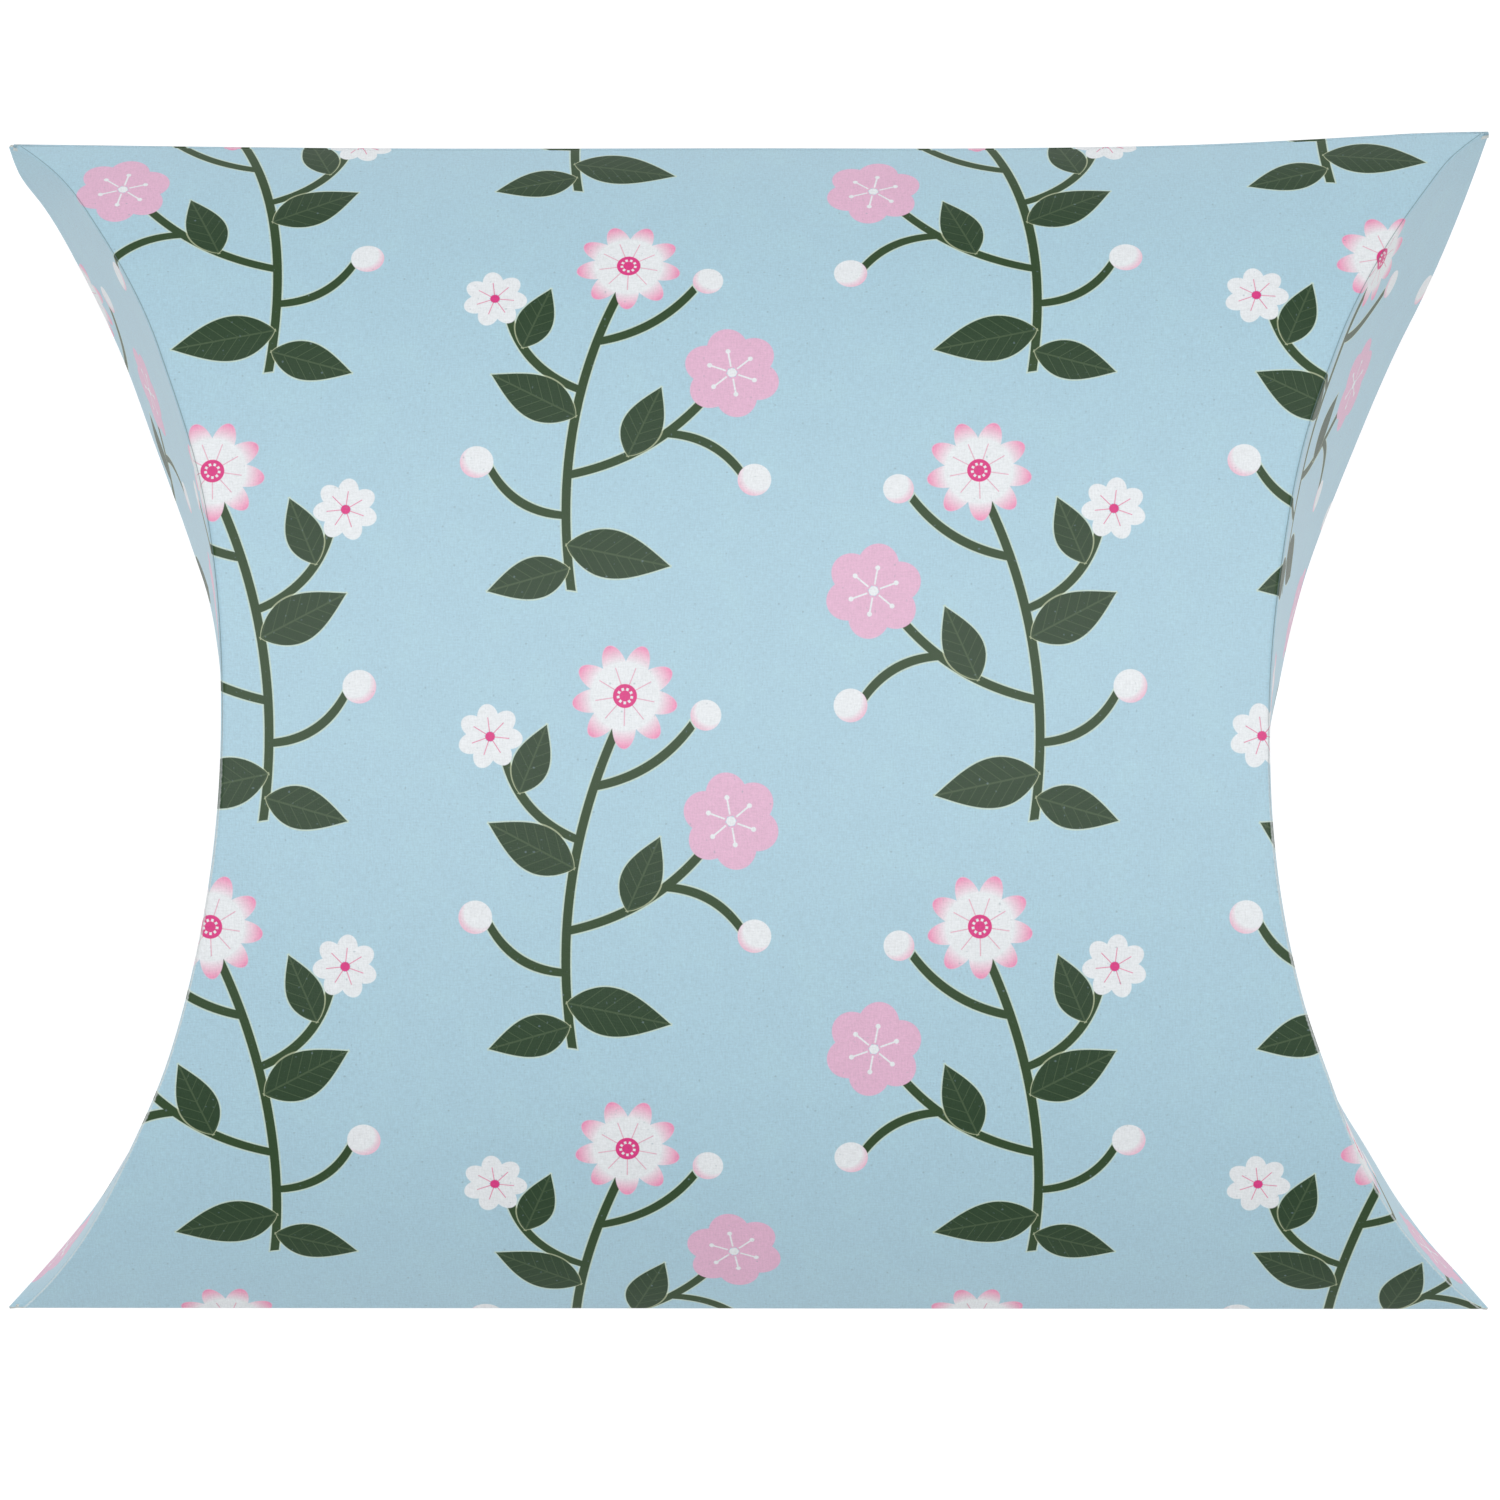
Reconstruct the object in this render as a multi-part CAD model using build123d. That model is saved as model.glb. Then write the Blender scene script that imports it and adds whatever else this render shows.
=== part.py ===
from build123d import *
from math import asin, atan2, cos, degrees, sin, sqrt
import os

# A pillow box lying on its back: +X runs from end to end, +Y from fold to fold
# and +Z from the back crown to the front crown. All lengths are millimetres.

# The closed box, over its outside faces
box_width = 160.0
box_height = 126.0
box_depth = 43.2

# A panel seen from the end: a flat crown arc between two tighter shoulder arcs
crown_radius = 140.0
shoulder_share = 0.62

# The card, and how far the front panel's curved score bows in at mid height
# from where it starts, in from the blunt tips
card = 0.4
front_score_bow = 24.2
score_tip_inset = 1.3
tip_height = 1.2
tip_gap = 0.1

# End flaps
score_gap = 0.1
inner_flap_inset = 0.9
outer_flap_shortfall = 1.0
inner_flap_reach = 20.5
inner_flap_shortfall = 2.0

# The glued seam along the upper fold
glue_thickness = 0.1
tab_height = 13.0
tab_end_gap = 2.0
glue_margin = 1.5
seam_edge_height = 0.7
seam_edge_gap = 0.15

# Beyond every face that a cut has to clear
overrun = 5.0

half_width = box_width / 2
half_height = box_height / 2
half_depth = box_depth / 2

# The front score lies in a plane that rises this much less than it runs in.
# The back score has the inverse slope, so that both flaps of an end share one surface.
front_slope = front_score_bow / half_depth
back_slope = 1 / front_slope


def shoulder_arc():
    """Give the crown arc's half angle, the fold angle and the shoulder arc's radius."""
    join_y = shoulder_share * half_height
    join_angle = asin(join_y / crown_radius)
    join_z = half_depth - crown_radius * (1 - cos(join_angle))
    run = half_height - join_y
    fold_angle = 2 * atan2(join_z, run) - join_angle
    radius = run / (sin(fold_angle) - sin(join_angle))
    return join_angle, fold_angle, radius


crown_angle, fold_angle, shoulder_radius = shoulder_arc()
crown_centre = half_depth - crown_radius
centre_step = crown_radius - shoulder_radius
shoulder_y = centre_step * sin(crown_angle)
shoulder_z = crown_centre + centre_step * cos(crown_angle)


def panel_line(inward):
    """Draw the front panel's three arcs, from the lower fold to the upper, set inward."""
    side = degrees(fold_angle - crown_angle)
    middle = degrees(crown_angle)
    quarter = degrees(asin(1))
    shoulder = shoulder_radius - inward
    lower = CenterArc((-shoulder_y, shoulder_z), shoulder, quarter + middle, side)
    crown = CenterArc((0, crown_centre), crown_radius - inward, quarter - middle, 2 * middle)
    upper = CenterArc((shoulder_y, shoulder_z), shoulder, quarter - middle - side, side)
    return [upper, crown, lower]


def panel_band(outer, inner):
    """Make the panel's end view between two distances in from its outside face."""
    outside = panel_line(outer)
    inside = panel_line(inner)
    lower_end = Line(outside[2] @ 1, inside[2] @ 1)
    upper_end = Line(outside[0] @ 0, inside[0] @ 0)
    return make_face(outside + inside + [lower_end, upper_end])


def tube(outer, inner):
    """Run the end view along X, well past both ends of the box."""
    reach = half_width + box_depth + overrun
    face = Plane.YZ * panel_band(outer, inner)
    return extrude(face, amount=reach, both=True)


def side_prism(corners):
    """Make a prism through the whole height from corners in the XZ plane."""
    face = Plane.XZ * make_face(Polyline(*corners, close=True))
    return extrude(face, amount=half_height + overrun, both=True)


def score_reach(slope, inset, height):
    """Give how far out the right score lies at a height over the fold plane."""
    return half_width - inset - slope * height


def between_scores(slope, inset):
    """Cover the front half between the planes of the two scores."""
    top = half_depth + overrun
    start = score_reach(slope, inset, 0)
    end = score_reach(slope, inset, top)
    return side_prism([(-start, 0), (-end, top), (end, top), (start, 0)])


def blunt_tips(slope, inset):
    """Cover the card beside the folds, which runs out past the scores to the tips."""
    start = score_reach(slope, inset, tip_height)
    return side_prism([(-half_width, 0), (-start, tip_height), (start, tip_height), (half_width, 0)])


def within_tips(gap):
    """Cover the rows of the box that lie between its tips, short of them by a gap."""
    drop = tip_height - shoulder_z
    reach = shoulder_y + sqrt(shoulder_radius**2 - drop**2) - gap
    return Box(box_width + 2 * overrun, 2 * reach, 2 * (box_depth + overrun))


def past_score(slope, inset, free_slope, shortfall):
    """Cover the card past the left score plane, out to the plane of its free edge."""
    top = half_depth + overrun
    tip = -half_width + inset
    free = tip + shortfall
    meet = shortfall / (slope + free_slope)
    corner = tip + slope * meet
    return side_prism([(corner, meet), (tip + slope * top, top), (free - free_slope * top, top)])


def score_plane(slope, inset):
    """Give the plane of the left score, facing into the box."""
    return Plane(origin=(-half_width + inset, 0, 0), x_dir=(0, 1, 0), z_dir=(1, 0, -slope))


def mitre(slope, inset):
    """Run the left score's outline square to its plane, which halves the folded corner."""
    plane = score_plane(slope, inset)
    sheet = plane * Rectangle(2 * half_height + overrun, 2 * box_depth)
    lens = make_face(panel_line(0) + [Line((-half_height, 0), (half_height, 0))])
    inside = extrude(Plane.YZ * lens, amount=half_width + overrun, both=True)
    return extrude(sheet & inside, amount=box_depth, both=True)


def panel(slope, inset):
    """Make a bowed panel of the front half, cut at both curved scores."""
    corner = mitre(slope, inset) & within_tips(0)
    ends = between_scores(slope, inset) + blunt_tips(slope, inset)
    return (tube(0, card) & ends) - corner - to_right(corner)


def flap(slope, inset, free_slope, shortfall):
    """Make the left flap: the panel's own card past the score, mirrored in the score's plane."""
    flat = tube(0, card) & past_score(slope, inset, free_slope, shortfall)
    folded = mirror(flat, about=score_plane(slope, inset))
    return folded & (Pos(0, 0, -score_gap) * mitre(slope, inset)) & within_tips(tip_gap)


def seam_side(low, high):
    """Cover the upper half of the box between two heights over the fold plane."""
    middle = (low + high) / 2
    block = Box(box_width + 2 * overrun, half_height + overrun, high - low)
    return Pos(0, (half_height + overrun) / 2, middle) * block


def upper_strip(height):
    """Cover the strip of the given height below the upper fold."""
    block = Box(box_width + 2 * overrun, height + overrun, box_depth + 2 * overrun)
    return Pos(0, half_height + overrun - (height + overrun) / 2, 0) * block


def front_panel():
    """Make the front panel, whose upper edge lies on the folded tab."""
    return panel(front_slope, score_tip_inset) - seam_side(-overrun, seam_edge_height)


def glue_tab():
    """Make the tab: the back panel's card turned over the upper fold, under the front panel."""
    under = card + glue_thickness
    ends = between_scores(front_slope, score_tip_inset + tab_end_gap)
    strip = tube(under, under + card) & ends & upper_strip(tab_height)
    turn = tube(0, under + card) & ends & seam_side(0, seam_edge_height - seam_edge_gap)
    return strip + turn


def seam_adhesive():
    """Make the film of adhesive between the tab and the front panel."""
    film = tube(card, card + glue_thickness)
    ends = between_scores(front_slope, score_tip_inset + tab_end_gap + glue_margin)
    strip = film & ends & upper_strip(tab_height - glue_margin)
    return strip - seam_side(-overrun, seam_edge_height + glue_margin)


def to_back(shape):
    """Turn a shape of the front half into its twin in the back half."""
    return mirror(shape, about=Plane.XY)


def to_right(shape):
    """Turn a shape of the left end into its twin at the right end."""
    return mirror(shape, about=Plane.YZ)


def pieces():
    """Build every piece about the fold plane."""
    back_inset = score_tip_inset + inner_flap_inset
    outer = flap(front_slope, score_tip_inset, back_slope, outer_flap_shortfall)
    inner_free_slope = inner_flap_reach / half_depth - back_slope
    inner = flap(back_slope, back_inset, inner_free_slope, inner_flap_shortfall)
    return {
        "front_panel": front_panel(),
        "back_panel": to_back(panel(back_slope, back_inset)),
        "glue_tab": glue_tab(),
        "seam_adhesive": seam_adhesive(),
        "left_outer_flap": outer,
        "right_outer_flap": to_right(outer),
        "left_inner_flap": to_back(inner),
        "right_inner_flap": to_right(to_back(inner)),
    }


os.makedirs("parts", exist_ok=True)
for name, shape in pieces().items():
    placed = Pos(0, 0, half_depth) * shape
    export_step(placed, f"parts/{name}.step")
    print(name, "solids", len(placed.solids()), "volume", round(sum(s.volume for s in placed.solids()), 2))
print("shoulder radius", round(shoulder_radius, 2), "fold angle", round(degrees(fold_angle), 2))
print("front slope", round(front_slope, 4), "back slope", round(back_slope, 4))
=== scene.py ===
from functools import reduce
from math import acos, asin, atan2, ceil, cos, degrees, hypot, pi, radians, sin, tan

import bpy
import numpy as np
from mathutils import Matrix, Vector


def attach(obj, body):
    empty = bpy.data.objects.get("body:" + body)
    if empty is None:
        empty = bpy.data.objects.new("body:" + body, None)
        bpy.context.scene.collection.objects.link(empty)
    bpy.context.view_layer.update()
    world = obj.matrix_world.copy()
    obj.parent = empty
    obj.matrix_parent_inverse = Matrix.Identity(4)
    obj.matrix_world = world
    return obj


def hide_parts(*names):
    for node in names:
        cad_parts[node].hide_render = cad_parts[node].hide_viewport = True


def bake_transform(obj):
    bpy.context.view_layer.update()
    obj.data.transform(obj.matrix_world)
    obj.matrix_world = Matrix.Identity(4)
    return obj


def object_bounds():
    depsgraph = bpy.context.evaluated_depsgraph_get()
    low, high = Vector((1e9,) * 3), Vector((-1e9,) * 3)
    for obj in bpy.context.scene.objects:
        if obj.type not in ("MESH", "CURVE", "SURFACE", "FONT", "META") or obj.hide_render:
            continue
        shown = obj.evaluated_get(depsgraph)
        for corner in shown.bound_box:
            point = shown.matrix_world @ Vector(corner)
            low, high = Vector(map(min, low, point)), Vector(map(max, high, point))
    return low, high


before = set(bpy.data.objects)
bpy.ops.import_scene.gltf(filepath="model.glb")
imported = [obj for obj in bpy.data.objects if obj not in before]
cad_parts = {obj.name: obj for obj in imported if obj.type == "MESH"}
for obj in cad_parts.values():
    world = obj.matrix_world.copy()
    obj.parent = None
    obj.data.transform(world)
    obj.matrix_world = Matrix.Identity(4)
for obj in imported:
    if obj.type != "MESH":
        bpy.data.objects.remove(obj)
cad_low, cad_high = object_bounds()

# A closed pillow box of printed card, lying on its back crown. Lengths are millimetres
# and heights are over the fold plane, until a mesh is made.
mm = 0.001
half_width, half_height, half_depth = (cad_high - cad_low) / (2 * mm)

# The card, and a panel seen from the end: a flat crown arc, a tighter shoulder arc
# and the small round of the fold
card = 0.4
crown_radius = 140.0
shoulder_share = 0.62
fold_radius = 0.5

# How far the front panel's curved score bows in at mid height. Both scores' planes are set by it.
front_score_bow = 24.2
front_slope = front_score_bow / half_depth

# The scores' rounding: the length of the card that turns, on each side of the score,
# and the most that it may be of the flap's own length
crease_leg = 0.6
crease_leg_share = 0.35

# The glued seam along the upper fold: how high over the fold plane the front panel ends, the glue,
# the tab's height, how far its ends stop short of the scores and how much farther at its free edge,
# how far its turn over the fold runs past the scores and how much less at the fold's middle,
# and how far inside the tab the glue ends
seam_edge_height = 0.5
glue_thickness = 0.1
tab_height = 13.0
tab_end_gap = 0.2
tab_taper = 7.0
tab_tip_reach = 0.9
tab_tip_chamfer = 0.7
glue_margin = 1.5

# How the panels and their flaps lie, by y as a share of half the box's height.
# The front score's inset from the end of the box, past what its slope gives,
# at the left and the right end
score_drift = {
    -1: [(-1, 2.4), (-0.91, 1.45), (-0.8, 0.5), (-0.73, 0.25), (-0.57, 0.9), (-0.31, 1.35),
         (0.05, 1.4), (0.39, 1.15), (0.61, 0.2), (0.83, 0.1), (0.95, 1.15), (1, 1.1)],
    1: [(-1, 2.0), (-0.9, 1.6), (-0.76, 1.1), (-0.65, 0.85), (-0.48, 1.5), (-0.31, 1.7),
        (0.01, 1.3), (0.25, 0.85), (0.47, 0.55), (0.61, -0.15), (0.78, -0.57), (0.89, -0.1),
        (0.95, 0.75), (1, 0.9)],
}
# The outer flap's free edge, in from the end of the box
free_inset = {
    -1: [(-1, 0.75), (-0.95, 3.3), (-0.9, 5.8), (-0.82, 9.4), (-0.74, 12.2), (-0.65, 15.6),
         (-0.5, 18.4), (-0.3, 20.8), (0, 21.6), (0.14, 21.0), (0.23, 20.0), (0.32, 18.2),
         (0.49, 14.5), (0.67, 10.5), (0.79, 7.1), (0.9, 3.4), (0.95, 1.15), (1, 0.2)],
    1: [(-1, 1.1), (-0.94, 4.2), (-0.9, 6.4), (-0.82, 10.0), (-0.73, 13.2), (-0.65, 16.1),
        (-0.5, 19.3), (-0.3, 22.2), (-0.15, 23.3), (0, 23.0), (0.07, 22.1), (0.14, 21.2),
        (0.23, 19.8), (0.49, 13.8), (0.66, 9.2), (0.74, 6.7), (0.82, 4.5), (0.94, 1.7), (1, 0.5)],
}
# How far behind the outer flap's free edge the back panel's score lies
tuck = [(-1, 0.6), (0.2, 0.6), (0.5, 1.7), (0.75, 3.0), (0.9, 2.0), (1, 0.8)]
# How far the upper fold sags, or rises where negative, by x as a share of half the box's width
sag = [(-1, 0.8), (-0.5, 1.35), (0, 1.45), (0.37, 1.5), (0.6, 1.2), (0.8, 0.45), (0.9, 0), (1, -0.16)]

# How deep under the fold plane the outer flap reaches, and how far short of it the inner one stops,
# as shares of the panel's height. The inner flap ends this far from the folds, and near them
# it is as deep as where the panel is this high.
outer_reach_share = 0.97
inner_stop_share = 0.06
inner_tip_gap = 2.6
inner_tip_height = 1.5

# The least share of the card's thickness that a flap keeps beside a fold
least_thickness_share = 0.05

# The rows of a sheet's mesh: their spacing on the open card, their places in from the end of
# the shoulder, how many go round a fold, and the least gap to the first and the last row
row_step = 0.8
near_fold_steps = np.array([0.35, 0.8, 1.5, 2.5, 4.0])
fold_rows = 5
least_row_gap = 0.1
# The columns of a mesh: along a panel, along the tab, over a rounded score and along a flap,
# where a power crowds them toward the score
panel_columns = 42
tab_columns = 40
score_columns = 11
flap_columns = 21
flap_crowding = 1.3
# Extra columns of the panel beside its scores, as shares of its length there
crease_support_shares = np.array([0.002, 0.006, 0.012])
# The material slots of a sheet
outside_slot, inside_slot, cut_slot = range(3)

# The camera: its distance, its turn off the box's axes, its focal length in pixels,
# where the box's centre falls in the picture, its sensor's width and the nearest that it sees
picture_size = 1500
camera_distance = 700.0
camera_yaw = radians(1.1)
camera_pitch = radians(2.5)
focal_pixels = 6542
centre_pixel = (748.5, 719.4)
sensor_width = 36.0
nearest_seen = 10.0

join_y = shoulder_share * half_height
crown_turn = asin(join_y / crown_radius)
crown_centre = half_depth - crown_radius
join_height = crown_centre + crown_radius * cos(crown_turn)
shoulder_run = half_height - join_y
edge_turn = 2 * atan2(join_height, shoulder_run) - crown_turn
shoulder_radius = shoulder_run / (sin(edge_turn) - sin(crown_turn))
shoulder_y = (crown_radius - shoulder_radius) * sin(crown_turn)
shoulder_height = crown_centre + (crown_radius - shoulder_radius) * cos(crown_turn)
fold_turn = acos(-shoulder_height / (shoulder_radius - fold_radius))
fold_y = shoulder_y + (shoulder_radius - fold_radius) * sin(fold_turn)

crown_length = crown_radius * crown_turn
shoulder_end = crown_length + shoulder_radius * (fold_turn - crown_turn)
half_length = shoulder_end + fold_radius * (pi / 2 - fold_turn)


def through(points, at):
    """Run a smooth line through points and give its value at each place."""
    places, values = np.array(points, float).T
    slopes = np.gradient(values, places)
    at = np.clip(at, places[0], places[-1])
    left = np.clip(np.searchsorted(places, at, side="right") - 1, 0, len(places) - 2)
    gap = places[left + 1] - places[left]
    t = (at - places[left]) / gap
    start = (2 * t**3 - 3 * t**2 + 1) * values[left] + (t**3 - 2 * t**2 + t) * gap * slopes[left]
    end = (3 * t**2 - 2 * t**3) * values[left + 1] + (t**3 - t**2) * gap * slopes[left + 1]
    return start + end


def profile(lengths):
    """Give a panel's y, its height and its normal's turn, by arc length from the crown."""
    reach = np.abs(lengths)
    zone = [reach <= crown_length, reach <= shoulder_end]
    on_crown = reach / crown_radius
    on_shoulder = crown_turn + (reach - crown_length) / shoulder_radius
    on_fold = fold_turn + (reach - shoulder_end) / fold_radius
    turn = np.select(zone, [on_crown, on_shoulder], on_fold)
    radius = np.select(zone, [crown_radius, shoulder_radius], fold_radius)
    y = np.select(zone, [0, shoulder_y], fold_y) + radius * np.sin(turn)
    height = np.select(zone, [crown_centre, shoulder_height], 0) + radius * np.cos(turn)
    side = np.sign(lengths)
    return side * y, height, side * turn


def length_at(height):
    """Give the arc length at which the shoulder has come down to a height."""
    turn = acos((height - shoulder_height) / shoulder_radius)
    return crown_length + shoulder_radius * (turn - crown_turn)


def rows(low, high):
    """Space a card's rows between two arc lengths, closer together near the folds."""
    fold = np.linspace(half_length, shoulder_end, fold_rows)
    near = shoulder_end - near_fold_steps
    open_card = np.linspace(near[-1], 0, ceil(near[-1] / row_step))[1:]
    upper = np.concatenate([fold, near, open_card])
    every = np.concatenate([-upper, upper[-2::-1]])
    kept = every[(every > low + least_row_gap) & (every < high - least_row_gap)]
    return np.concatenate([[low], kept, [high]])


def points_of(x, y, z):
    """Join coordinates into points."""
    return np.stack(np.broadcast_arrays(x, y, z), axis=-1).astype(float)


def flat_of(u, v):
    """Join places on the flat sheet, u for each point of a grid and v for each of its rows."""
    return np.stack(np.broadcast_arrays(u, v[:, None]), axis=-1)


def front_score(side, lengths):
    """Give the front score's inset from the end of the box."""
    y, height, _ = profile(lengths)
    return front_slope * height + through(score_drift[side], y / half_height)


def outer_free(side, lengths):
    """Give the inset of the outer flap's free edge."""
    y, _, _ = profile(lengths)
    return through(free_inset[side], y / half_height)


def back_score(side, lengths):
    """Give the back score's inset: just behind the outer flap's free edge."""
    y, _, _ = profile(lengths)
    return outer_free(side, lengths) + through(tuck, y / half_height)


def front_end(side, lengths):
    """Lay out the front card's end: its score line, and the outer flap's free edge."""
    y, height, _ = profile(lengths)
    score = points_of(side * (half_width - front_score(side, lengths)), y, height)
    free = points_of(side * (half_width - outer_free(side, lengths)), y, -outer_reach_share * height)
    return score, free


def back_end(side, lengths):
    """Lay out the back card's end, as seen from behind. Its flap lies parallel behind the outer one."""
    y, height, _ = profile(lengths)
    inset = back_score(side, lengths)
    share = (1 - inner_stop_share) / (1 + outer_reach_share)
    free = inset + share * (front_score(side, lengths) - outer_free(side, lengths))
    rise = (1 - inner_stop_share) * np.maximum(height, inner_tip_height)
    score = points_of(side * (half_width - inset), y, height)
    return score, points_of(side * (half_width - free), y, height - rise)


class Strip:
    """The card at one end, from the panel over the rounded score to the flap's free edge.

    A panel ends and its flap starts at the middle column of the rounded score.
    """

    score_steps = np.linspace(0, 1, score_columns)
    middle_column = score_columns // 2
    flap_shares = np.linspace(0, 1, flap_columns)[1:] ** flap_crowding

    def __init__(self, side, lengths, end):
        score, free = end(side, lengths)
        ruling = free - score
        size = np.linalg.norm(ruling, axis=-1, keepdims=True)
        leg = np.minimum(crease_leg, crease_leg_share * size)
        outward = np.array([side, 0.0, 0.0])
        before = score - leg * outward
        after = score + ruling / size * leg
        columns, runs = [], []
        for t in self.score_steps:
            columns.append((1 - t) ** 2 * before + 2 * t * (1 - t) * score + t**2 * after)
            runs.append((1 - t) * (score - before) + t * (after - score))
        for share in self.flap_shares:
            columns.append(after + share * (free - after))
            runs.append(ruling)
        self.points = np.stack(columns, axis=1)
        along = np.gradient(self.points, lengths, axis=0)
        normals = side * np.cross(np.stack(runs, axis=1), along)
        self.normals = normals / np.linalg.norm(normals, axis=-1, keepdims=True)
        steps = np.linalg.norm(np.diff(self.points, axis=1), axis=-1)
        travel = np.concatenate([np.zeros((len(lengths), 1)), np.cumsum(steps, axis=1)], axis=1)
        self.u = before[:, :1] + side * travel
        self.crease = travel - travel[:, self.middle_column : self.middle_column + 1]


def settled(points):
    """Let the upper fold sag, most at the fold itself."""
    out = points.copy()
    drop = through(sag, points[..., 0] / half_width)
    out[..., 1] -= drop * (np.maximum(points[..., 1], 0) / half_height) ** 2
    return out


def in_frame(points, behind):
    """Turn a grid of points over the fold plane into a list of points in the box's frame."""
    out = settled(points).reshape(-1, 3)
    if behind:
        out[:, 2] *= -1
    out[:, 1] = np.clip(out[:, 1], -half_height, half_height)
    out[:, 2] += half_depth
    return out


def grid_faces(outer):
    """Give the vertex numbers of a grid and its faces."""
    index = np.arange(outer.shape[0] * outer.shape[1]).reshape(outer.shape[:2])
    corners = [index[:-1, :-1], index[:-1, 1:], index[1:, 1:], index[1:, :-1]]
    return index, np.stack(corners, axis=-1).reshape(-1, 4)


def card_piece(name, vertices, faces, slots, flat, crease, materials):
    """Make an object whose vertices repeat the grid of flat places and distances from the score."""
    mesh = bpy.data.meshes.new(name)
    mesh.from_pydata((vertices * mm).tolist(), [], faces.tolist())
    mesh.polygons.foreach_set("material_index", slots)
    mesh.polygons.foreach_set("use_smooth", slots != cut_slot)
    for material in materials:
        mesh.materials.append(material)
    corner = np.zeros(len(mesh.loops), int)
    mesh.loops.foreach_get("vertex_index", corner)
    layer = mesh.uv_layers.new(name="flat")
    layer.data.foreach_set("uv", flat.reshape(-1, 2)[corner % crease.size].ravel())
    from_score = mesh.attributes.new("crease", "FLOAT", "POINT")
    from_score.data.foreach_set("value", np.resize(crease, len(vertices)).astype(np.float32))
    mesh.update()
    piece = bpy.data.objects.new(name, mesh)
    bpy.context.scene.collection.objects.link(piece)
    return piece


def shell(name, outer, normals, flat, crease, materials, thickness=card, behind=False):
    """Make a closed sheet of card from a grid of its outside points, rows by columns."""
    vertices = np.concatenate([in_frame(outer, behind), in_frame(outer - thickness * normals, behind)])
    index, quads = grid_faces(outer)
    ring = np.concatenate([index[0], index[1:, -1], index[-1, -2::-1], index[-2:0:-1, 0]])
    following = np.roll(ring, -1)
    rims = np.stack([following, ring, ring + index.size, following + index.size], axis=-1)
    faces = np.concatenate([quads, quads[:, ::-1] + index.size, rims])
    if behind:
        faces = faces[:, ::-1]
    counts = [len(quads), len(quads), len(rims)]
    slots = np.repeat([outside_slot, inside_slot, cut_slot], counts)
    return card_piece(name, vertices, faces, slots, flat, crease, materials)


def bending_sheet(name, side, outer, flat, crease, materials, behind):
    """Make a flap's card from its outside, thickened inward by a modifier."""
    _, faces = grid_faces(outer)
    # The columns of a left flap run the other way, and behind the box everything is mirrored
    if behind != (side < 0):
        faces = faces[:, ::-1]
    vertices = in_frame(outer, behind)
    slots = np.full(len(faces), outside_slot)
    piece = card_piece(name, vertices, faces, slots, flat, crease, materials)
    # The sheet's own edge stays sharp, where the cut edge meets its faces
    mesh = piece.data
    edge_of_corner = np.zeros(len(mesh.loops), int)
    mesh.loops.foreach_get("edge_index", edge_of_corner)
    uses = np.bincount(edge_of_corner, minlength=len(mesh.edges))
    mesh.edges.foreach_set("use_edge_sharp", uses == 1)
    # Beside a fold the card thins, so that its inside stays within the box
    room = piece.vertex_groups.new(name="room_beside_fold")
    for number, y in enumerate(vertices[:, 1]):
        share = min(1.0, max(least_thickness_share, (half_height - abs(y)) / card))
        room.add([number], share, "REPLACE")
    thick = piece.modifiers.new("card", "SOLIDIFY")
    thick.vertex_group = room.name
    thick.thickness = card * mm
    thick.offset = -1.0
    thick.material_offset = inside_slot
    thick.material_offset_rim = cut_slot
    return piece


def panel(name, lengths, end, v, materials, behind=False):
    """Make a bowed panel, from the middle of one rounded score to the middle of the other."""
    y, height, turn = profile(lengths)
    left, right = (Strip(side, lengths, end) for side in (-1, 1))
    shares = np.linspace(0, 1, panel_columns)[1:-1]
    shares = np.concatenate([crease_support_shares, shares, 1 - crease_support_shares[::-1]])
    from_x, to_x = left.points[:, 0, 0], right.points[:, 0, 0]
    x = from_x[:, None] + shares * (to_x - from_x)[:, None]
    middle = points_of(x, y[:, None], height[:, None])
    upright = points_of(0 * x, np.sin(turn)[:, None], np.cos(turn)[:, None])
    far = np.full(x.shape, -half_width)
    last = Strip.middle_column

    def joined(at_left, between, at_right):
        return np.concatenate([at_left[:, last::-1], between, at_right[:, : last + 1]], axis=1)

    points = joined(left.points, middle, right.points)
    normals = joined(left.normals, upright, right.normals)
    flat = flat_of(joined(left.u, x, right.u), v)
    crease = joined(left.crease, far, right.crease)
    return shell(name, points, normals, flat, crease, materials, behind=behind)


def flap(name, side, lengths, end, v, materials, behind=False):
    """Make an end flap, from the middle of the rounded score to its free edge."""
    strip = Strip(side, lengths, end)
    kept = np.s_[:, Strip.middle_column :]
    flat = flat_of(strip.u[kept], v)
    return bending_sheet(name, side, strip.points[kept], flat, strip.crease[kept], materials, behind)


def seam_strip(name, lengths, end_inset, depth, thickness, materials):
    """Make a strip along the upper fold, at a depth under the front panel's outside face."""
    y, height, turn = profile(lengths)
    shares = np.linspace(0, 1, tab_columns)
    from_x = front_score(-1, lengths) + end_inset - half_width
    to_x = half_width - front_score(1, lengths) - end_inset
    x = from_x[:, None] + shares * (to_x - from_x)[:, None]
    points = points_of(x, y[:, None], height[:, None])
    normals = points_of(0 * x, np.sin(turn)[:, None], np.cos(turn)[:, None])
    outer = points - np.reshape(depth, (-1, 1, 1)) * normals
    far = np.full(x.shape, half_width)
    return shell(name, outer, normals, flat_of(x, lengths), far, materials, thickness=thickness)


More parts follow.
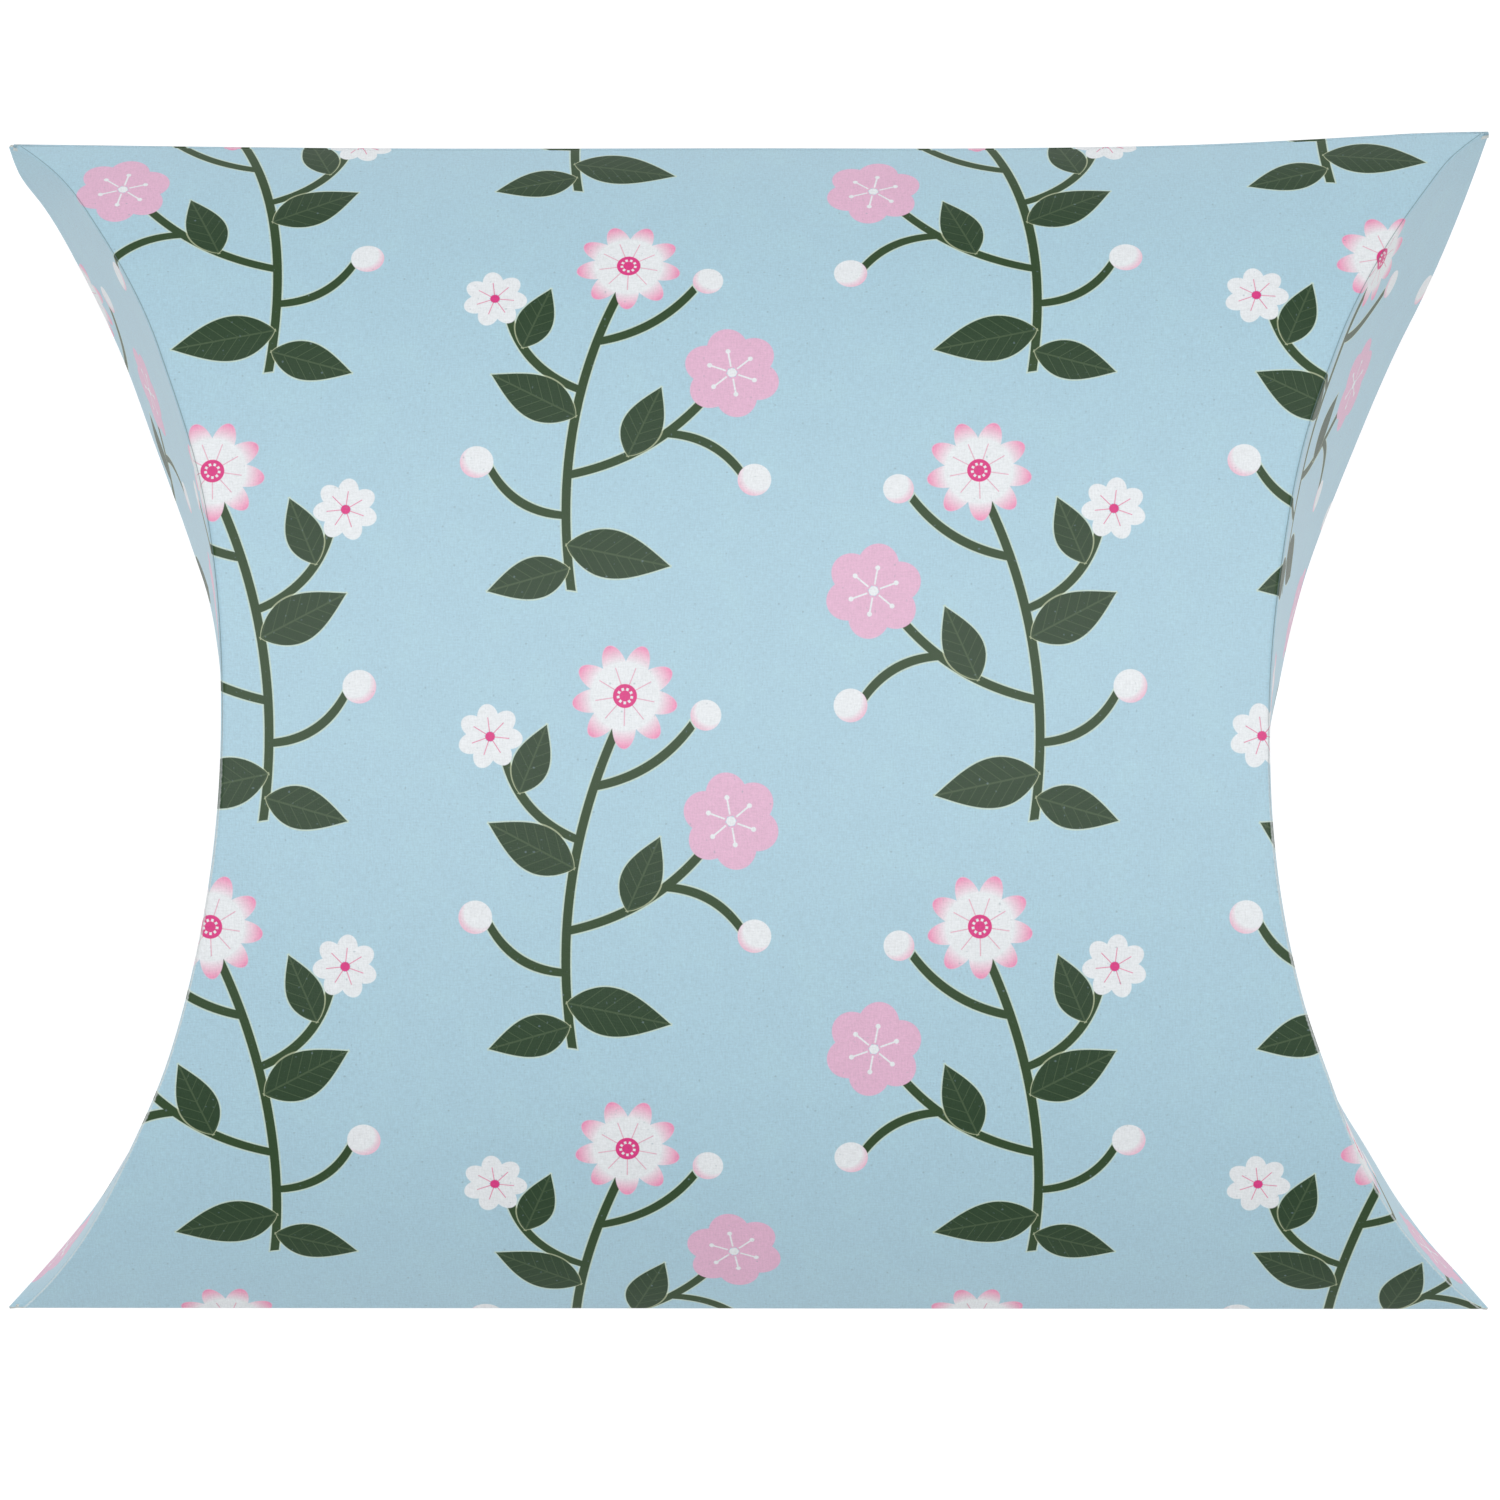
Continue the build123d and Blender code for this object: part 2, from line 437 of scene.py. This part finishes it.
class Field:
    """A number that varies over a surface. Arithmetic on fields adds Math nodes."""

    def __init__(self, tree, socket):
        self.tree = tree
        self.socket = socket

    def math(self, operation, *others, clamp=False):
        """Add a Math node that works on the number and on others, fields or plain ones."""
        node = self.tree.nodes.new("ShaderNodeMath")
        node.operation = operation
        node.use_clamp = clamp
        for slot, value in zip(node.inputs, (self, *others)):
            if isinstance(value, Field):
                self.tree.links.new(value.socket, slot)
            else:
                slot.default_value = value
        return Field(self.tree, node.outputs[0])

    def __add__(self, other):
        return self.math("ADD", other)

    def __sub__(self, other):
        return self.math("SUBTRACT", other)

    def __mul__(self, other):
        return self.math("MULTIPLY", other)

    def __abs__(self):
        return self.math("ABSOLUTE")

    def scaled(self, scale, shift):
        """Give the number times a scale, plus a shift."""
        return self.math("MULTIPLY_ADD", scale, shift)

    def nearer(self, other):
        """Give the distance outside two shapes together."""
        return self.math("MINIMUM", other)

    def both(self, other):
        """Give the distance outside what two shapes share."""
        return self.math("MAXIMUM", other)

    def repeat(self, size):
        """Give the distance to the nearest whole multiple of a size."""
        return self.math("PINGPONG", size / 2)

    def mask(self, soft):
        """Turn a distance outside a shape into 1 inside it and 0 outside, over a soft edge."""
        return self.math("MULTIPLY_ADD", -1 / soft, 0.5, clamp=True)

    def above(self, level, gain):
        """Give how far the number is above a level, times a gain, from 0 to 1."""
        return (self - level).math("MULTIPLY", gain, clamp=True)


# The curve between a screen's tones, of 255 steps, and linear ones, as the sRGB standard has it
screen_steps = 255
foot_end = 0.04045
foot_slope = 12.92
curve_offset = 0.055
curve_power = 2.4


def srgb(red, green, blue):
    """Turn a colour as a screen shows it into the linear one that a shader takes."""
    def linear(tone):
        share = tone / screen_steps
        if share <= foot_end:
            return share / foot_slope
        return ((share + curve_offset) / (1 + curve_offset)) ** curve_power
    return (linear(red), linear(green), linear(blue), 1.0)


# The colour sockets of a Mix node, which come after those for numbers and vectors
mix_below, mix_above, mix_result = 6, 7, 2


class Paint:
    """The colour laid down so far. Each layer is mixed over it by a mask."""

    def __init__(self, tree, colour):
        self.tree = tree
        self.colour = colour

    def put(self, slot, colour):
        """Set a colour socket to a colour, or link another socket to it."""
        if isinstance(colour, tuple):
            slot.default_value = colour
        else:
            self.tree.links.new(colour, slot)

    def layer(self, mask, colour):
        """Mix a colour over what is there, where the mask says."""
        node = self.tree.nodes.new("ShaderNodeMix")
        node.data_type = "RGBA"
        self.tree.links.new(mask.socket, node.inputs["Factor"])
        self.put(node.inputs[mix_below], self.colour)
        self.put(node.inputs[mix_above], colour)
        self.colour = node.outputs[mix_result]


def flat_place(tree):
    """Give the place on the flat sheet, in millimetres, as two fields."""
    place = tree.nodes.new("ShaderNodeUVMap")
    place.uv_map = "flat"
    split = tree.nodes.new("ShaderNodeSeparateXYZ")
    tree.links.new(place.outputs["UV"], split.inputs[0])
    return Field(tree, split.outputs[0]), Field(tree, split.outputs[1])


# Noises: how many grains to a millimetre along the sheet and up it, and how many finer layers
level_fibres = (1.3, 6.0, 2.0)
upright_fibres = (6.0, 1.3, 2.0)
board_tooth = (5.0, 5.0, 1.0)
ink_mottle = (0.22, 0.22, 3.0)
ink_specks = (2.4, 2.4, 0.0)
worn_spots = (3.0, 3.0, 3.0)
board_mottle = (0.5, 0.5, 3.0)
loose_fibres = (0.9, 9.0, 1.0)
edge_spots = (1.2, 1.2, 2.0)
glue_bubbles = (0.9, 0.9, 3.0)


def noise(tree, u, v, grains):
    """Give a noise from 0 to 1."""
    along, up, layers = grains
    join = tree.nodes.new("ShaderNodeCombineXYZ")
    tree.links.new((u * along).socket, join.inputs[0])
    tree.links.new((v * up).socket, join.inputs[1])
    node = tree.nodes.new("ShaderNodeTexNoise")
    node.noise_dimensions = "2D"
    node.inputs["Scale"].default_value = 1.0
    node.inputs["Detail"].default_value = layers
    tree.links.new(join.outputs[0], node.inputs["Vector"])
    return Field(tree, node.outputs[0])


def from_crease(tree):
    """Give the distance from the nearest score."""
    node = tree.nodes.new("ShaderNodeAttribute")
    node.attribute_name = "crease"
    return abs(Field(tree, node.outputs["Fac"]))


# The print: a sprig with curved stems in each cell of a half-drop repeat, shifted off the
# panel's middle. An ink's edge is a little soft and the greens have a pale halo.
cell_width = 40.0
cell_height = 48.0
cell_shift = (14.0, 14.0)
stem_width = 0.95
print_soft = 0.07
halo_width = 0.16
halo_strength = 0.5
# A leaf's swell, whose power sets it full toward the base, and its veins: the midrib's width,
# and the side veins' width, spacing and slant
leaf_fullness = 0.78
midrib_width = 0.18
vein_width = 0.1
vein_spacing = 1.3
vein_slant = 0.9
vein_strength = 0.7

# The trunk: from, to, and how far it bows
trunk = ((-4.0, -21.5), (1.2, 13.0), 2.6)
# Shoots: the stem that each grows from, its place there from -1 to 1, its far end and its bow
shoots = [
    (0, -0.3, (11.0, 1.0), -1.8),
    (0, 0.25, (-11.0, 9.5), 1.6),
    (0, -0.55, (-12.5, -8.5), 1.3),
    (1, 0.2, (13.6, -8.8), 1.1),
    (0, 0.58, (8.6, 12.4), -1.2),
]
# Leaves: the stem that each grows from, its place there, direction in degrees, length and width
leaves = [
    (0, 0.08, 152.0, 10.0, 5.0),
    (0, -0.73, -12.0, 11.0, 5.2),
    (1, -0.3, 66.0, 8.4, 4.2),
    (0, -0.87, 196.0, 8.8, 4.4),
    (2, 0.3, 68.0, 7.6, 3.8),
]
# Berries: centre and radius
berries = [((-14.0, -7.6), 1.75), ((15.0, -9.6), 1.75), ((10.0, 13.4), 1.6)]
# Flowers: where each sits, and its petals: how many, their turn in radians, how far they reach
# from the flower's middle, their length and their width
rose_place = (12.6, 2.4)
rose_petals = (6, 0.35, 5.1, 4.6, 4.3)
star_place = (-12.4, 11.2)
star_petals = (7, 0.1, 3.4, 2.9, 2.2)
daisy_place = (1.6, 15.4)
daisy_petals = (9, 0.2, 5.5, 4.9, 2.5)


def on_stem(line, share):
    """Give the point of a stem at a place from -1, its foot, to 1, its tip."""
    start, end, bow = (Vector(line[0]), Vector(line[1]), line[2])
    run = end - start
    left = Vector((-run.y, run.x)).normalized()
    point = (start + end) / 2 + run * (share / 2) + left * (bow * (1 - share**2))
    return tuple(point)


def grown():
    """Give every stem as its foot, its tip and its bow."""
    stems = [trunk]
    for parent, share, end, bow in shoots:
        stems.append((on_stem(stems[parent], share), end, bow))
    return stems


def placed(x, y, at, turn):
    """Give the coordinates along and across a motif that sits at a point, turned by some degrees."""
    c, s = cos(radians(turn)), sin(radians(turn))
    along = x.scaled(c, y.scaled(s, -at[0] * c - at[1] * s))
    across = x.scaled(-s, y.scaled(c, at[0] * s - at[1] * c))
    return along, across


def stem(x, y, start, end, bow):
    """Give the distance outside a stem that bows to one side between two points."""
    run_x, run_y = end[0] - start[0], end[1] - start[1]
    length = hypot(run_x, run_y)
    middle = ((start[0] + end[0]) / 2, (start[1] + end[1]) / 2)
    along, across = placed(x, y, middle, degrees(atan2(run_y, run_x)))
    share = along * (2 / length)
    line = (share * share).scaled(bow, across - bow)
    return (abs(line) - stem_width / 2).both(abs(along) - length / 2)


def leaf(x, y, base, turn, length, width):
    """Give the distances outside an ovate leaf and outside its veins."""
    along, across = placed(x, y, base, turn)
    beside = abs(across)
    share = along.math("MULTIPLY", 1 / length, clamp=True)
    swell = (share.math("POWER", leaf_fullness) * pi).math("SINE")
    within = abs(along - length / 2) - length / 2
    edge = swell.scaled(-width / 2, beside).both(within)
    side_veins = (along - beside * vein_slant).repeat(vein_spacing) - vein_width / 2
    veins = (beside - midrib_width / 2).nearer(side_veins)
    return edge, veins.both(edge)


def distance(across, up):
    """Give the distance from where two fields are 0."""
    return (across * across + up * up).math("SQRT")


def disc(x, y, at, radius):
    """Give the distance outside a disc."""
    return distance(x - at[0], y - at[1]) - radius


def bloom(x, y, at, petals):
    """Give the distance from a flower's middle, the place beside its nearest petal's axis
    and the distance outside its petals, which are ellipses."""
    count, phase, reach, long, wide = petals
    across, up = x - at[0], y - at[1]
    out = distance(across, up)
    turn = up.math("ARCTAN2", across)
    fold = (turn + phase).repeat(2 * pi / count)
    beside = out * fold.math("SINE")
    along = (out * fold.math("COSINE")) - (reach - long / 2)
    edge = (along * along).scaled(4 / long**2, (beside * beside).scaled(4 / wide**2, -1.0))
    return out, beside, edge * (wide / 4)


# Colours: of the print, of its wear and of the painted highlight and shade along the scores, and of the
# bare card and the glue
ground_ink = srgb(174, 207, 222)
mottle_ink = srgb(176, 212, 216)
stem_ink = srgb(50, 74, 44)
leaf_ink = srgb(44, 68, 44)
vein_ink = srgb(78, 98, 70)
halo_ink = srgb(214, 224, 186)
white_ink = srgb(232, 236, 239)
blush_ink = srgb(238, 122, 174)
pink_ink = srgb(220, 62, 134)
pale_pink_ink = srgb(226, 182, 208)
speck_colour = srgb(130, 152, 162)
# The score line colours: a pale one for wear in spots and a painted highlight, and a dark one for a
# painted shade
wear_and_highlight_colour = srgb(236, 242, 242)
shade_colour = srgb(96, 122, 126)
rubbed_colour = srgb(196, 206, 208)
board_colour = srgb(236, 234, 228)
fibre_colour = srgb(205, 199, 188)
edge_colour = srgb(206, 212, 210)
edge_spot_colour = srgb(176, 192, 198)
glue_colour = srgb(226, 216, 188)
bubble_colour = srgb(238, 232, 214)


def daisy(paint, x, y):
    """Paint a white flower of nine narrow petals with pink tips and a dotted pink eye."""
    blush_start, blush_run = 3.5, 1.9
    blush_strength = 0.85
    line_width, line_end = 0.1, 3.1
    line_strength = 0.55
    eye_radius = 1.25
    ring_radius, ring_width = 0.72, 0.28
    dot_width = 0.26
    out, beside, edge = bloom(x, y, daisy_place, daisy_petals)
    petals = edge.mask(print_soft)
    paint.layer(petals, white_ink)
    tips = out.scaled(1 / blush_run, -blush_start / blush_run).math("MINIMUM", 1.0).math("MAXIMUM", 0.0)
    paint.layer(tips * petals * blush_strength, blush_ink)
    line = (beside - line_width / 2).both(out - line_end)
    paint.layer(line.mask(print_soft) * line_strength, pink_ink)
    paint.layer((out - eye_radius).mask(print_soft), pink_ink)
    ring = abs(out - ring_radius) - ring_width / 2
    paint.layer(ring.both(beside - dot_width / 2).mask(print_soft), white_ink)


def rose(paint, x, y):
    """Paint a pale pink flower of six round petals with a ring of white stamens."""
    stamen_width, stamen_length = 0.18, 1.6
    stamen_middle = 1.5
    anther_place, anther_radius = 2.5, 0.26
    eye_radius = 0.5
    out, beside, edge = bloom(x, y, rose_place, rose_petals)
    paint.layer(edge.mask(print_soft), pale_pink_ink)
    stamens = (beside - stamen_width / 2).both(abs(out - stamen_middle) - stamen_length / 2)
    paint.layer(stamens.mask(print_soft), white_ink)
    anthers = distance(beside, out - anther_place) - anther_radius
    paint.layer(anthers.mask(print_soft), white_ink)
    paint.layer((out - eye_radius).mask(print_soft), white_ink)


def star(paint, x, y):
    """Paint a small white flower of seven petals with fine pink lines."""
    line_width, line_end = 0.09, 2.0
    line_strength = 0.8
    eye_radius = 0.5
    out, beside, edge = bloom(x, y, star_place, star_petals)
    paint.layer(edge.mask(print_soft), white_ink)
    line = (beside - line_width / 2).both(out - line_end)
    paint.layer(line.mask(print_soft) * line_strength, pink_ink)
    paint.layer((out - eye_radius).mask(print_soft), pink_ink)


def berry(paint, x, y, at, radius):
    """Paint a white berry, blushed pink low on one side."""
    shift = 0.5
    blush_run, blush_base = 0.8, 0.2
    blush_strength = 0.5
    body = disc(x, y, at, radius).mask(print_soft)
    paint.layer(body, white_ink)
    past = disc(x, y, (at[0] + shift, at[1] + shift), radius)
    blush = past.scaled(1 / blush_run, blush_base).math("MAXIMUM", 0.0)
    paint.layer(blush * body * blush_strength, blush_ink)


def in_cell(u, v):
    """Give the place in a cell of the repeat. Every other column is mirrored and half a cell lower."""
    across = u + cell_shift[0]
    column = across.scaled(1 / cell_width, 0.5).math("FLOOR")
    odd = column.math("FLOORED_MODULO", 2.0)
    x = (across - column * cell_width) * odd.scaled(-2.0, 1.0)
    lifted = odd.scaled(cell_height / 2, v + cell_shift[1])
    row = lifted.scaled(1 / cell_height, 0.5).math("FLOOR")
    return x, lifted - row * cell_height


def paint_print(paint, u, v):
    """Paint the repeat over the ground."""
    x, y = in_cell(u, v)
    stems = grown()
    green = reduce(Field.nearer, [stem(x, y, *line) for line in stems])
    paint.layer((green - halo_width).mask(print_soft) * halo_strength, halo_ink)
    paint.layer(green.mask(print_soft), stem_ink)
    grown_leaves = []
    for parent, share, turn, length, width in leaves:
        grown_leaves.append(leaf(x, y, on_stem(stems[parent], share), turn, length, width))
    blade, veins = (reduce(Field.nearer, edges) for edges in zip(*grown_leaves))
    paint.layer((blade - halo_width).mask(print_soft) * halo_strength, halo_ink)
    paint.layer(blade.mask(print_soft), leaf_ink)
    paint.layer(veins.mask(print_soft) * vein_strength, vein_ink)
    for at, radius in berries:
        berry(paint, x, y, at, radius)
    rose(paint, x, y)
    star(paint, x, y)
    daisy(paint, x, y)


# The score marks. Low on the sheet, up to low_end less low_run, the scores are pale, with wear in spots
# and a painted highlight along them. From low_end up they have a thin painted shade. The lower fold is
# rubbed.
low_end = 6.0
low_run = 20.0
wear_and_highlight_reach = 0.35
wear_and_highlight_base = 0.35
spot_share = 0.6
wear_and_highlight_gain = 2.0
wear_and_highlight_strength = 0.6
shade_width = 0.12
shade_soft = 0.1
shade_strength = 0.7
shade_drop = 0.6
rubbed_width = 0.2
rubbed_soft = 0.25
rubbed_base = 0.2
spot_strength = 0.5


def paint_wear_highlight_and_shade(paint, tree, u, v):
    """Paint the scores, pale with wear and a painted highlight low on the sheet and a painted shade
    high on it, and the rubbed fold.
    """
    by_crease = from_crease(tree)
    spots = noise(tree, u, v, worn_spots)
    low = v.math("MULTIPLY_ADD", -1 / low_run, low_end / low_run, clamp=True)
    # A pale line along the lower scores: wear in spots, and a painted highlight on the rounded score
    near = by_crease.scaled(-1 / wear_and_highlight_reach, wear_and_highlight_base)
    wear_and_highlight = (near + spots * spot_share).math("MULTIPLY", wear_and_highlight_gain, clamp=True)
    paint.layer(wear_and_highlight * low * wear_and_highlight_strength, wear_and_highlight_colour)
    # A thin dark line along the upper scores: a painted shade in the score's groove, weaker low on the
    # sheet
    shade = (by_crease - shade_width / 2).mask(shade_soft)
    paint.layer(shade * low.scaled(-shade_drop, shade_strength), shade_colour)
    rubbed = (abs(v + half_length) - rubbed_width / 2).mask(rubbed_soft)
    paint.layer(rubbed * spots.scaled(spot_strength, rubbed_base), rubbed_colour)


def new_material(name):
    """Make a material and give it with its node tree and its shader."""
    material = bpy.data.materials.new(name)
    material.use_nodes = True
    tree = material.node_tree
    return material, tree, tree.nodes["Principled BSDF"]


def paper_grain(tree, u, v):
    """Give the card's grain: short fibres both ways and a fine tooth."""
    tooth_share = 0.7
    level = noise(tree, u, v, level_fibres)
    upright = noise(tree, u, v, upright_fibres)
    tooth = noise(tree, u, v, board_tooth)
    return level + upright + tooth * tooth_share


def lit(tree, colour, light):
    """Make a colour lighter or darker by a field."""
    node = tree.nodes.new("ShaderNodeVectorMath")
    node.operation = "SCALE"
    tree.links.new(colour, node.inputs[0])
    tree.links.new(light.socket, node.inputs["Scale"])
    return node.outputs[0]


def dress(tree, shader, colour, roughness, gloss, relief, depth):
    """Set a surface's colour, roughness and gloss, and raise it by a field times the depth."""
    tree.links.new(colour, shader.inputs["Base Color"])
    tree.links.new(roughness.socket, shader.inputs["Roughness"])
    shader.inputs["Specular IOR Level"].default_value = gloss
    bump = tree.nodes.new("ShaderNodeBump")
    bump.inputs["Strength"].default_value = 1.0
    bump.inputs["Distance"].default_value = depth * mm
    tree.links.new(relief.socket, bump.inputs["Height"])
    tree.links.new(bump.outputs[0], shader.inputs["Normal"])


def printed_card():
    """The card's printed face: matt ink, mottled and finely specked, over a fibrous stock."""
    mottle_level, mottle_gain, mottle_strength = 0.5, 3.0, 0.16
    speck_level, speck_gain, speck_strength = 0.82, 5.0, 0.5
    grain_light, base_light, mottle_light = 0.17, 0.76, 0.05
    grain_roughness, base_roughness = 0.1, 0.3
    gloss, depth = 0.3, 0.012
    material, tree, shader = new_material("printed_card_face")
    u, v = flat_place(tree)
    paint = Paint(tree, ground_ink)
    mottle = noise(tree, u, v, ink_mottle)
    paint.layer(mottle.above(mottle_level, mottle_gain) * mottle_strength, mottle_ink)
    paint_print(paint, u, v)
    specks = noise(tree, u, v, ink_specks)
    paint.layer(specks.above(speck_level, speck_gain) * speck_strength, speck_colour)
    paint_wear_highlight_and_shade(paint, tree, u, v)
    grain = paper_grain(tree, u, v)
    colour = lit(tree, paint.colour, grain.scaled(grain_light, base_light) + mottle * mottle_light)
    roughness = grain.scaled(grain_roughness, base_roughness)
    dress(tree, shader, colour, roughness, gloss, grain, depth)
    return material


def plain_card():
    """The card's inside: uncoated white board with loose fibres."""
    fibre_level, fibre_gain = 0.66, 2.5
    grain_light, base_light, mottle_light = 0.06, 0.9, 0.04
    grain_roughness, base_roughness = 0.08, 0.72
    gloss, depth = 0.25, 0.02
    material, tree, shader = new_material("plain_card_face")
    u, v = flat_place(tree)
    paint = Paint(tree, board_colour)
    fibres = noise(tree, u, v, loose_fibres)
    paint.layer(fibres.above(fibre_level, fibre_gain), fibre_colour)
    grain = paper_grain(tree, u, v)
    mottle = noise(tree, u, v, board_mottle)
    colour = lit(tree, paint.colour, grain.scaled(grain_light, base_light) + mottle * mottle_light)
    roughness = grain.scaled(grain_roughness, base_roughness)
    dress(tree, shader, colour, roughness, gloss, grain, depth)
    return material


def cut_edge():
    """The card's cut edge: pressed grey-white fibres, bluish in spots."""
    spot_level, spot_gain = 0.5, 2.0
    grain_roughness, base_roughness = 0.08, 0.75
    gloss, depth = 0.2, 0.03
    material, tree, shader = new_material("cut_card_edge")
    u, v = flat_place(tree)
    paint = Paint(tree, edge_colour)
    spots = noise(tree, u, v, edge_spots)
    paint.layer(spots.above(spot_level, spot_gain), edge_spot_colour)
    grain = paper_grain(tree, u, v)
    roughness = grain.scaled(grain_roughness, base_roughness)
    dress(tree, shader, paint.colour, roughness, gloss, grain, depth)
    return material


def dried_glue():
    """The seam's dried glue: a pale yellowish film with small bubbles."""
    bubble_level, bubble_gain = 0.5, 3.0
    bubble_roughness, base_roughness = 0.25, 0.2
    gloss, depth = 0.5, 0.05
    material, tree, shader = new_material("dried_glue")
    u, v = flat_place(tree)
    paint = Paint(tree, glue_colour)
    bubbles = noise(tree, u, v, glue_bubbles)
    paint.layer(bubbles.above(bubble_level, bubble_gain), bubble_colour)
    roughness = bubbles.scaled(bubble_roughness, base_roughness)
    dress(tree, shader, paint.colour, roughness, gloss, bubbles, depth)
    return material


def make_box():
    """Make every sheet of the box, and hang the panels, the tab and the glue on the box's body."""
    faces = [printed_card(), plain_card(), cut_edge()]
    seam_edge = length_at(seam_edge_height)
    front_rows = rows(-half_length, seam_edge)
    back_rows = rows(-half_length, half_length)
    front = panel("front_card", front_rows, front_end, front_rows, faces)
    back = panel("back_card", back_rows, back_end, -2 * half_length - back_rows, faces, behind=True)
    for piece, node in ((front, "front_panel"), (back, "back_panel")):
        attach(piece, "box_body")
        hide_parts(node)
    outer_rows = rows(-shoulder_end, seam_edge)
    inner_rows = rows(inner_tip_gap - half_length, half_length - inner_tip_gap)
    for side, word in ((-1, "left"), (1, "right")):
        outer = flap(f"{word}_outer_card", side, outer_rows, front_end, outer_rows, faces)
        hang_flap(outer, f"{word}_outer")
        inner_v = -2 * half_length - inner_rows
        inner = flap(f"{word}_inner_card", side, inner_rows, back_end, inner_v, faces, behind=True)
        hang_flap(inner, f"{word}_inner")
    make_seam(seam_edge, faces)


def hang_flap(piece, body):
    """Set a flap's transform into its mesh and hide the CAD flap that it replaces."""
    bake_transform(piece)
    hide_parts(f"{body}_flap")


def make_seam(seam_edge, faces):
    """Make the tab, which turns over the upper fold and runs under the front panel, and its glue."""
    under = card + glue_thickness
    tab_end = half_length - tab_height
    lengths = rows(tab_end, half_length)
    step = np.clip((half_length - lengths) / (half_length - seam_edge), 0, 1)
    depth = under * step**2 * (3 - 2 * step)
    taper = tab_end_gap + tab_taper * (half_length - lengths) / tab_height
    turned = (lengths - seam_edge) / (half_length - seam_edge)
    taper = np.where(turned > 0, tab_tip_chamfer * turned - tab_tip_reach, taper)
    tab = seam_strip("tab_card", lengths, taper, depth, card, faces)
    glue_rows = rows(tab_end + glue_margin, seam_edge - glue_margin)
    glue_taper = tab_end_gap + glue_margin + tab_taper * (half_length - glue_rows) / tab_height
    glue_faces = [dried_glue()] * len(faces)
    glue = seam_strip("seam_glue", glue_rows, glue_taper, card, glue_thickness, glue_faces)
    for piece, node, slot in ((tab, "glue_tab", "printed_card"), (glue, "seam_adhesive", "adhesive")):
        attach(piece, "box_body")
        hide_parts(node)


# The studio: a glowing white floor, a surround that is bright at the horizon and dim above,
# and one large soft lamp, in metres and watts
floor_size = 6.0
floor_colour = srgb(136, 136, 136)
floor_roughness = 0.9
floor_glow = 0.88
white_light = (1.0, 1.0, 1.0, 1.0)
horizon_light = 0.5
zenith_light = 0.28
lamp_size = 0.65
lamp_place = (0.0, 0.08, 0.74)
lamp_power = 4.1


def make_surround():
    """Light the scene from all round, like a light tent."""
    world = bpy.data.worlds.new("surround")
    world.use_nodes = True
    tree = world.node_tree
    place = tree.nodes.new("ShaderNodeTexCoord")
    split = tree.nodes.new("ShaderNodeSeparateXYZ")
    tree.links.new(place.outputs["Generated"], split.inputs[0])
    below_top = Field(tree, split.outputs[2]).math("MULTIPLY_ADD", -1.0, 1.0, clamp=True)
    light = (below_top * below_top).scaled(horizon_light - zenith_light, zenith_light)
    tree.links.new(light.socket, tree.nodes["Background"].inputs["Strength"])
    tree.nodes["Background"].inputs["Color"].default_value = white_light
    bpy.context.scene.world = world


def make_floor():
    """Make the floor under the box, which glows so that it shows white."""
    mesh = bpy.data.meshes.new("floor")
    reach = floor_size / 2
    corners = [(-reach, -reach, 0), (reach, -reach, 0), (reach, reach, 0), (-reach, reach, 0)]
    mesh.from_pydata(corners, [], [(0, 1, 2, 3)])
    floor = bpy.data.objects.new("floor", mesh)
    bpy.context.scene.collection.objects.link(floor)
    material, _, shader = new_material("white_floor")
    shader.inputs["Base Color"].default_value = floor_colour
    shader.inputs["Roughness"].default_value = floor_roughness
    shader.inputs["Specular IOR Level"].default_value = 0.0
    shader.inputs["Emission Color"].default_value = white_light
    shader.inputs["Emission Strength"].default_value = floor_glow
    mesh.materials.append(material)


def make_lamp():
    """Hang the soft lamp over the box, turned to the middle of the floor."""
    light = bpy.data.lights.new("soft_lamp", "AREA")
    light.size = lamp_size
    light.energy = lamp_power
    lamp = bpy.data.objects.new("soft_lamp", light)
    lamp.location = lamp_place
    lamp.rotation_euler = (-Vector(lamp_place)).to_track_quat("-Z", "Y").to_euler()
    bpy.context.scene.collection.objects.link(lamp)


def make_studio():
    """Make the floor, the lamp and the surround, shown in plain screen colours."""
    make_floor()
    make_lamp()
    make_surround()
    bpy.context.scene.view_settings.view_transform = "Standard"


def make_camera():
    """Look down on the front panel, turned off its axes as the photograph is."""
    back = Vector((tan(camera_yaw), -tan(camera_pitch), 1)).normalized()
    right = Vector((0, 1, 0)).cross(back).normalized()
    up = back.cross(right)
    pixel = camera_distance / focal_pixels
    middle = picture_size / 2
    place = back * camera_distance
    place += right * (middle - centre_pixel[0]) * pixel
    place += up * (centre_pixel[1] - middle) * pixel
    place += Vector((0, 0, half_depth))
    lens = bpy.data.cameras.new("camera")
    lens.sensor_width = sensor_width
    lens.lens = focal_pixels / picture_size * sensor_width
    lens.clip_start = nearest_seen * mm
    camera = bpy.data.objects.new("camera", lens)
    turn = Matrix((right, up, back)).transposed().to_4x4()
    camera.matrix_world = Matrix.Translation(place * mm) @ turn
    bpy.context.scene.collection.objects.link(camera)
    bpy.context.scene.camera = camera


make_camera()
make_box()
make_studio()
